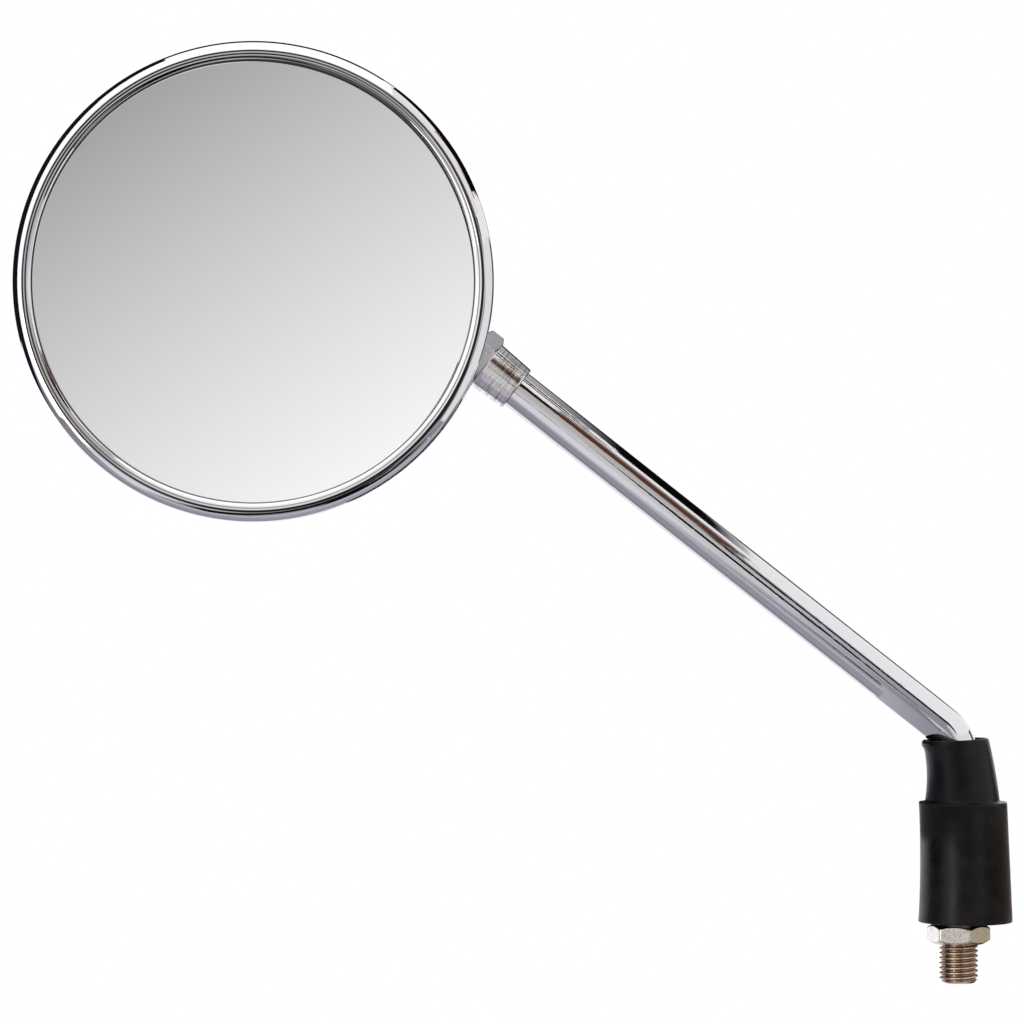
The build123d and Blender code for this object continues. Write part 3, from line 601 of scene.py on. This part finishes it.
# the neck's radius and middle are parabolas through its foot, waist and top
neck = np.linspace(0, 1, boot["neckRows"])
neckLength = boot["mouth"] - boot["step"]
neckHeight = boot["step"] + neck * neckLength
neckShare = [0, boot["waistRise"] / neckLength, 1]
neckRadius = np.polyval(np.polyfit(neckShare, [boot["neckFoot"], boot["neckWaist"], boot["neckTop"]], 2), neck)
mouthMiddle = rodAt(boot["mouth"])[0]
neckPlaces = [
    boot["lean"][2], rodAt(boot["step"] + boot["waistRise"])[0] + boot["lean"][3], mouthMiddle + boot["lean"][4]]
neckMiddle = np.polyval(np.polyfit(neckShare, neckPlaces, 2), neck)
mouthTilt = math.radians(boot["tilt"])
boreHeight = np.linspace(boot["mouth"] - boot["boreDrop"], boot["roof"], boot["boreRows"])
boreMiddle, boreTilt = rodAt(boreHeight)
skirtRun = np.linspace(0, 1, boot["skirtRows"])
# the skirt draws in by a flattened half sine wave: its middle moves right by as much as its radius shrinks
bow = boot["bow"] * np.sin(math.pi * skirtRun) ** 0.6
skirtRadius = boot["skirtBottom"] + skirtRun * (boot["skirtTop"] - boot["skirtBottom"]) - bow
skirtMiddle = boot["lean"][0] + skirtRun * (boot["lean"][1] - boot["lean"][0]) + bow
skirtHeight = boot["bottom"] + skirtRun * (boot["step"] - boot["bottom"])
# each row is radius, height, middle, tilt, stretch along the lean
rings = np.vstack([
    np.stack([skirtRadius, skirtHeight, skirtMiddle, 0 * skirtRun, 1 + 0 * skirtRun], -1),
    np.stack([neckRadius, neckHeight, neckMiddle, mouthTilt * neck**3, 1 + 0 * neck], -1),
    [[boot["mouthRing"][0], boot["mouth"] - boot["mouthRing"][1], mouthMiddle, mouthTilt, boot["mouthRing"][2]]],
    np.stack([0 * boreHeight + boot["bore"], boreHeight, boreMiddle, boreTilt, 1 + 0 * boreHeight], -1),
    [[boot["skirtBore"], boot["roof"], boot["lean"][1], 0, 1]],
    [[boot["skirtBore"], boot["bottom"], boot["lean"][0], 0, 1]],
])
rings = softened(rings, True, boot["blur"], boot["rows"], boot["blurStep"])
turn = np.linspace(0, 2 * math.pi, boot["cols"], endpoint=False)
reach, rise, centre, tilt, stretchBy = (rings[:, k:k + 1] for k in range(5))
# a small tear in the step's edge: a bell-shaped dent in height and angle
offNick = np.mod(turn - math.radians(boot["nickAt"]) + math.pi, 2 * math.pi) - math.pi
tear = np.exp(-((rise - boot["step"] + boot["nickDrop"]) / boot["nickHigh"]) ** 2 - (offNick / boot["nickWide"]) ** 2)
reach = reach - boot["nickDepth"] * tear * (reach > boot["beyondNeck"])
# the mouth's lip is rolled out a little on the left: a bell curve of the height times the squared cosine of the angle
rolled = np.exp(-((rise - boot["mouth"] + boot["lipDrop"]) / boot["lipHigh"]) ** 2) * np.clip(-np.cos(turn), 0, 1) ** 2
reach = reach + boot["lip"] * rolled * (reach > boot["beyondBore"])
ox = reach * np.cos(turn) * stretchBy
points = np.stack([centre + ox * np.cos(tilt), reach * np.sin(turn) + 0 * centre, rise + ox * np.sin(tilt)], -1)
points[..., 2] = np.maximum(points[..., 2], boot["bottom"])
settle(gridPiece("rubberBoot", points * mm, True), "stem", "boot_rubber", [bootRubber], "rubber_boot")

# ball pin: ball, neck, hex and collar in one turning, measured along the pin from the ball's middle
pin = {
    "ball": 6.0, "ballEnd": 179.8, "ballRows": 40, "neck": 3.0, "neckStart": 5.6, "neckFoot": 0.3, "hexStart": 10.0,
    "hexLength": 5.0, "hexRows": 32, "flats": 14.0, "inset": 0.3, "collarLarge": 6.5, "collarSmall": 6.0,
    "collarLength": 9.56, "edge": 0.25, "bore": 4.0, "boreMouth": 0.1, "boreDepth": 7.9, "cols": 240,
}
slope = math.radians(stalk["slope"])
pinAxis = np.array([math.cos(slope), 0, -math.sin(slope)])
pinAcross = np.array([-math.sin(slope), 0, -math.cos(slope)])
hexEnd = pin["hexStart"] + pin["hexLength"]
collarEnd = hexEnd + pin["collarLength"]
ballFoot = np.array([0, 0, stalk["bendHeight"]]) - pinAxis * (stalk["reach"] + collarEnd)
turn = np.linspace(0, 2 * math.pi, pin["cols"], endpoint=False)
neckTurn = math.degrees(math.asin(pin["neck"] / pin["ball"]))
ballTurn = np.radians(np.linspace(pin["ballEnd"], neckTurn, pin["ballRows"]))
ballRun = np.stack([pin["ball"] * np.sin(ballTurn), pin["ball"] * np.cos(ballTurn)], -1)
neckRun = np.array([
    [pin["neck"], pin["neckStart"]], [pin["neck"], pin["hexStart"] - pin["neckFoot"]],
    [pin["neck"] + pin["neckFoot"], pin["hexStart"]]])
hexLevel = pin["hexLength"] * (0.5 - 0.5 * np.cos(np.linspace(0, math.pi, pin["hexRows"])))
faceRadius = pin["flats"] / 2 - pin["inset"]
cone = faceRadius + math.sqrt(3) * np.minimum(hexLevel, pin["hexLength"] - hexLevel)
hexWall = softMin(hexRadius(turn, pin["flats"], 0.0)[None, :], cone[:, None])
# collar: a slight taper to the rod, with close rings at both ends so that its edges stay crisp
collarShare = np.r_[0.002, 0.01, 0.03, 0.06, np.linspace(0.1, 0.9, 9), 0.93, 0.95, 0.962]
taper = np.stack([
    pin["collarLarge"] + collarShare * (pin["collarSmall"] - pin["collarLarge"]),
    hexEnd + collarShare * pin["collarLength"]], -1)
edgeRadius, edgeStart = pin["collarSmall"] - pin["edge"], collarEnd - pin["edge"]
after = np.vstack([taper, [
    [pin["collarSmall"] - 0.01, edgeStart - 0.03], [pin["collarSmall"] - 0.04, edgeStart + 0.02],
    [edgeRadius + 0.03, collarEnd - 0.03], [edgeRadius - 0.03, collarEnd],
    [pin["bore"] + pin["boreMouth"], collarEnd], [pin["bore"], collarEnd - 0.05],
    [pin["bore"], collarEnd - pin["boreDepth"]], [poleRadius, collarEnd - pin["boreDepth"]],
]])
before = np.vstack([ballRun, neckRun])
reach = np.vstack([np.repeat(before[:, :1], pin["cols"], 1), hexWall, np.repeat(after[:, :1], pin["cols"], 1)])
along = np.r_[before[:, 1], pin["hexStart"] + hexLevel, after[:, 1]]
ring = np.cos(turn)[:, None] * pinAcross + np.sin(turn)[:, None] * np.array([0, 1, 0])
points = ballFoot + along[:, None, None] * pinAxis + reach[..., None] * ring
around = np.linspace(0, 2 * math.pi * pin["collarLarge"], pin["cols"] + 1)
ballPin = gridPiece("ballPin", points * mm, False, ("start", "end"), around, np.r_[along, along[-1]])
faceRow = np.arange(len(ballPin.data.polygons)) // pin["cols"]
onHex = (faceRow >= len(before) - 1) & (faceRow < len(before) + len(hexLevel) - 1)
ballPin.data.polygons.foreach_set("material_index", onHex.astype(np.int32))
settle(ballPin, "stem", "turned_steel", [turnedSteel, hexBar], "ball_pin")

# ball socket: a thick tube with a round nose, open to the pin and to the bowl
socket = {"bore": 7.5, "outer": 9.25, "mouth": 45.5, "end": 19.5, "blur": 0.08, "cols": 200, "rows": 90}
nose = np.radians(np.linspace(socket["mouth"], 90, 24))
outside = np.stack([np.sin(nose), np.cos(nose)], -1)
tubeEnd = [[socket["outer"], -socket["end"]], [socket["bore"], -socket["end"]]]
section = np.vstack([socket["outer"] * outside, tubeEnd, socket["bore"] * outside[::-1]])
section = softened(section, True, socket["blur"], socket["rows"])
points = revolved(section, socket["cols"], ballFoot, pinAxis, pinAcross, (0, 1, 0))
settle(gridPiece("ballSocket", points, True), "head", "chrome_shell", [chromeShell], "ball_socket")

# CAD nodes that stay get the finishes of their slots
finishes = {
    "shell": chromeShell, "front_liner": hidden["nylon"], "rear_liner": hidden["nylon"],
    "pressure_cup": hidden["plain_steel"], "spring_seat": hidden["plain_steel"],
    "pressure_spring": hidden["spring_steel"], "snap_ring": hidden["spring_steel"],
}
for node, material in finishes.items():
    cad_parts[node].data.materials[0] = material
print("nodes finished")

# studio: a pale floor, a room, and cards that the chrome mirrors but the camera doesn't see
studio = {"floorDrop": -0.25, "floorFrom": (-1.3, -0.06), "floorTo": (1.1, 1.9), "front": "#98939a", "side": "#5d5763",
          "rear": "#3a353e", "gain": 1.82}

# each card is a name, a corner, two edges, a tint and a glow; a second glow makes it fade from the first to the second
# as slant dot uv, plus start, goes from 0 to 1
cards = [
    # in front: a wall that pales to the lower right, a warmer part to its right, pale parts above and below, and dark
    # gaps and strips
    ("frontWall", (-0.8, -1.75, -0.2), (0.87, 0, 0), (0, 0, 0.814), "#ffffff", 0.33, 1.05, (0.577, -0.83), 0.619),
    ("frontRight", (0.07, -1.75, -0.3), (0.48, 0, 0), (0, 0, 0.65), "#fbf8f8", 0.84, 1.12),
    ("frontSide", (0.55, -1.75, -0.33), (0.4, 0, 0), (0, 0, 0.93), "#ffffff", 1.2),
    ("frontTop", (0.07, -1.75, 0.35), (0.43, 0, 0), (0, 0, 0.85), "#c9c3bf", 1.35),
    ("frontLow", (-0.5, -1.75, -0.9), (1.05, 0, 0), (0, 0, 0.7), "#ffffff", 0.95),
    ("frontRise", (-0.95, -1.75, 0.614), (1.02, 0, 0), (0, 0.55, 0.256), "#ffffff", 0.5, 1.5, (0.0, 2.0), 0.1),
    ("beam", (0.44, -1.74, 0.62), (0.36, 0, -0.28), (0.25, 0, 0.32), "#0d0c0d", 1.0),
    ("diagonal", (-0.75, -1.745, -1.76), (1.316, 0, 1.06), (0.0, 0, 0.72), "#141112", 1.0),
    ("lowWhite", (-1.7, -1.75, -1.85), (1.2, 0, 0), (0, 0, 1.41), "#f4f1f8", 1.25, 0.55, (6.8, -7.0), -0.403),
    ("gapBelow", (-0.75, -1.76, -1.2), (1.0, 0, -0.15), (0, 0, 0.5), "#141112", 1.0),
    ("gapBelowRight", (0.25, -1.76, -1.75), (0.75, 0, 0), (0, 0, 1.0), "#141112", 1.0),
    ("frontLineLeft", (-0.086, -0.35, 0.0674), (0.0625, 0, -0.0225), (0, 0, 0.072), "#0d0c0d", 1.0),
    ("frontLineRight", (-0.0222, -0.35, 0.0444), (0.0402, 0, -0.0144), (0, 0, 0.072), "#0d0c0d", 1.0),
    # above, right and left: soft panels, a strip light on the left, and dark flags
    ("ceiling", (-0.95, -1.2, 0.87), (1.2, 0, 0), (0, 1.31, 0), "#ffffff", 1.9),
    ("ceilingBack", (-0.48, 0.11, 0.868), (0.6, 0, 0), (0, 1.2, 0), "#1b1720", 1.0),
    ("ceilingFlag", (-0.48, -0.2, 0.865), (-0.47, -0.2, 0), (0, 1.3, 0), "#1b1720", 1.0),
    ("rightPanel", (0.95, -1.75, -0.65), (0, 2.1, 0), (0, 0, 1.1), "#ffffff", 1.25),
    ("rightUpper", (0.95, -1.75, 0.45), (0, 3.25, 0), (0, 0, 1.8), "#ffffff", 1.38),
    ("leftPanel", (-0.8, -1.75, -0.2), (0, 1.37, 0), (0, 0, 1.07), "#ffffff", 1.8),
    ("leftStrip", (-0.79, -1.25, -0.3), (0, 0.42, 0), (0, 0, 0.45), "#fff6f0", 6.5),
    ("leftFlag", (-0.8, -0.38, 0.05), (0, 1.6, 0), (0, 0, 0.82), "#1f1a26", 1.0),
    ("leftFlagLow", (-0.8, -0.38, 0.0), (0, 0.68, -0.25), (0, 0, 0.25), "#1f1a26", 1.0),
    ("leftGlow", (-0.85, 0.34, -0.25), (0, 1.3, 0), (0, 0, 0.3), "#efecf8", 2.2),
    # below and behind: an apron that pales to the right and to the front, and a bright floor further back
    ("apron", (-1.3, -1.75, -1.75), (2.4, 0, 0), (0, 1.69, 1.5), "#e6e1f0", 0.36, 0.98, (1.0, -2.38), 2.284),
    ("floorShade", (-1.3, -0.06, -0.249), (2.4, 0, 0), (0, 0.31, 0), "#e6e1f0", 0.42, 1.3, (1.0, -0.34), -0.1),
    ("floorGlow", (-1.3, 0.25, -0.249), (2.4, 0, 0), (0, 1.65, 0), "#f3f1fa", 1.4),
    ("floorFlag", (-0.02, 0.12, -0.248), (0.62, 0, 0), (0, 1.1, 0), "#17131b", 1.0),
    ("backGlow", (-1.8, 1.9, -0.25), (2.9, 0, 0), (0, 0, 0.3), "#f3f1fa", 1.4),
    # over the stalk: a small flag with a brown front, a dim edge and a dark back
    ("flagFront", (0.03, -0.42, 0.304), (0.1, 0, 0), (0, 0.233, 0), "#6b4636", 1.0),
    ("flagFrontLeft", (-0.03, -0.41, 0.304), (0.06, 0, 0), (0, 0.18, 0), "#2c1d18", 1.0),
    ("flagDash", (-0.03, -0.105, 0.304), (0.085, 0, 0), (0, 0.03, 0), "#5a3d33", 1.0),
    ("flagDashTwo", (-0.03, -0.055, 0.304), (0.075, 0, 0), (0, 0.035, 0), "#2c1d18", 1.0),
    ("flagEdge", (0.03, -0.187, 0.304), (0.1, 0, 0), (0, 0.06, 0), "#a59a94", 1.2),
    ("flagBack", (0.058, -0.045, 0.304), (0.05, 0, 0), (0, 0.5, 0), "#0b0a0c", 1.0),
    ("flagBackFade", (0.108, -0.045, 0.304), (0.018, 0, 0), (0, 0.5, 0), "#d8d8da", 0.02, 1.3),
    ("flagGrey", (-0.02, 0.0, 0.304), (0.078, 0, 0), (0, 0.25, 0), "#c4c3c6", 1.1, 0.01, (2.0, 0.0), -1.0),
    ("flagBackLeft", (-0.05, 0.25, 0.304), (0.108, 0, 0), (0, 0.3, 0), "#141214", 1.0),
    # close by: a dark and a pale card off the rim's upper right, four round the bend, and right of the boot a dim card
    # over a tan one
    ("rimFlag", (-0.1058, -0.0275, 0.1971), (-0.0265, 0.0085, 0.0339), (0, 0.15, 0), "#0b0a0c", 1.0),
    ("rimGlow", (-0.1012, -0.057, 0.1912), (-0.0311, 0.0, 0.0398), (0, 0.0275, 0), "#f6efed", 1.45),
    ("bendFlag", (-0.0186, -0.14, 0.0282), (-0.0432, 0, 0.0341), (0, 0.09, 0), "#e6e1f0", 0.42, 1.15),
    ("bendFlagRear", (-0.0155, -0.05, 0.0257), (-0.0188, 0, 0.0149), (0, 0.08, 0), "#e6e1f0", 0.5, 0.85),
    ("bendFront", (-0.0716, -0.36, 0.0087), (0.0527, 0, -0.0442), (0.1478, 0, 0.1871), "#e6e1ec", 1.05, 0.5),
    ("bendGlow", (0.012, 0.05, 0.04), (0.05, 0, 0), (0, 0, 0.035), "#ffffff", 1.25),
    ("bootFlag", (0.05, -0.06, -0.002), (0, 0.14, 0), (0, 0, 0.036), "#c8b4aa", 0.8),
    ("nutCard", (0.03, -0.03, -0.012), (0, 0.08, 0), (0, 0, 0.017), "#cbbfae", 1.2),
]


# a card is one face between a corner and two edges, lit by its own glow, and its uv runs along the edges
def lightCard(name, corner, edgeA, edgeB, tint, glow, farGlow=None, slant=(1.0, 0.0), start=0.0):
    corner, edgeA, edgeB = (np.asarray(x, float) for x in (corner, edgeA, edgeB))
    corners = np.array([corner, corner + edgeA, corner + edgeA + edgeB, corner + edgeB])
    mesh = bpy.data.meshes.new(name)
    mesh.from_pydata(corners.tolist(), [], [(0, 1, 2, 3)])
    mesh.uv_layers.new(name="card").data.foreach_set("uv", np.array([0, 0, 1, 0, 1, 1, 0, 1], np.float32))
    card = bpy.data.objects.new(name, mesh)
    bpy.context.scene.collection.objects.link(card)
    material = bpy.data.materials.new(name)
    material.use_nodes = True
    tree = material.node_tree
    tree.nodes.clear()
    lamp = addNode(tree, "Emission", {"Color": linear(tint, glow)})
    if farGlow:
        uv = addNode(tree, "UVMap", uv_map="card")
        across = addNode(tree, "VectorMath", {0: uv.outputs["UV"], 1: (*slant, 0.0)}, operation="DOT_PRODUCT")
        share = addNode(tree, "Math", {0: across.outputs["Value"], 1: start}, operation="ADD")
        shade = addNode(tree, "Mix", {
            0: share.outputs["Value"], 6: linear(tint, glow), 7: linear(tint, farGlow)}, data_type="RGBA")
        feed(tree, lamp, {"Color": shade.outputs[2]})
    addNode(tree, "OutputMaterial", {"Surface": lamp.outputs["Emission"]})
    mesh.materials.append(material)
    card.visible_camera = False


for card in cards:
    lightCard(*card)
print(len(cards), "light cards hung")

# matt paper floor: pale and even, with a slow mottle
floorLook = {"pale": "#e6e3ea", "mottle": "#dedbe3", "mottleMm": 60.0, "roughness": 0.8}
floorFinish, tree, shader = newMaterial("palePaperFloor", {"Roughness": floorLook["roughness"]})
place = addNode(tree, "TexCoord")
mottle = addNode(tree, "TexNoise", {"Vector": place.outputs["Object"], "Scale": 1000 / floorLook["mottleMm"]})
tone = addNode(tree, "Mix", {
    0: mottle.outputs["Fac"], 6: linear(floorLook["pale"]), 7: linear(floorLook["mottle"])}, data_type="RGBA")
feed(tree, shader, {"Base Color": tone.outputs[2]})
(left, near), (right, far) = studio["floorFrom"], studio["floorTo"]
mesh = bpy.data.meshes.new("floor")
corners = [(x, y, studio["floorDrop"]) for x, y in ((left, near), (right, near), (right, far), (left, far))]
mesh.from_pydata(corners, [], [(0, 1, 2, 3)])
mesh.materials.append(floorFinish)
floor = bpy.data.objects.new("floor", mesh)
bpy.context.scene.collection.objects.link(floor)

# the room behind the cards: white to the camera, and to the chrome dim purple-grey, paler in front and darker behind
world = bpy.data.worlds.new("studio")
bpy.context.scene.world = world
world.use_nodes = True
tree = world.node_tree
tree.nodes.clear()
place = addNode(tree, "TexCoord")
parts = addNode(tree, "SeparateXYZ", {"Vector": place.outputs["Generated"]})
ahead = addNode(tree, "MapRange", {"Value": parts.outputs["Y"], "From Min": -1.0, "From Max": 1.0})
room = addNode(tree, "ValToRGB", {"Fac": ahead.outputs["Result"]})
stops = room.color_ramp.elements
stops[0].color, stops[1].color = linear(studio["front"]), linear(studio["rear"])
stops.new(0.5).color = linear(studio["side"])
seen = addNode(tree, "Background", {"Color": (1, 1, 1, 1), "Strength": 1.0})
mirrored = addNode(tree, "Background", {"Color": room.outputs["Color"], "Strength": studio["gain"]})
path = addNode(tree, "LightPath")
both = addNode(tree, "MixShader", {
    "Fac": path.outputs["Is Camera Ray"], 1: mirrored.outputs["Background"], 2: seen.outputs["Background"]})
addNode(tree, "OutputWorld", {"Surface": both.outputs["Shader"]})

# camera: level, straight onto the glass
cameraLook = {"place": (-0.1129, -1.134, 0.1090), "lens": 157.7, "sensor": 36.0}
lensData = bpy.data.cameras.new("camera")
lensData.sensor_width, lensData.lens = cameraLook["sensor"], cameraLook["lens"]
camera = bpy.data.objects.new("camera", lensData)
camera.location, camera.rotation_euler = cameraLook["place"], (math.pi / 2, 0, 0)
bpy.context.scene.collection.objects.link(camera)
bpy.context.scene.camera = camera
bpy.context.scene.view_settings.view_transform = "Standard"
print("studio and camera set")

bpy.context.view_layer.update()
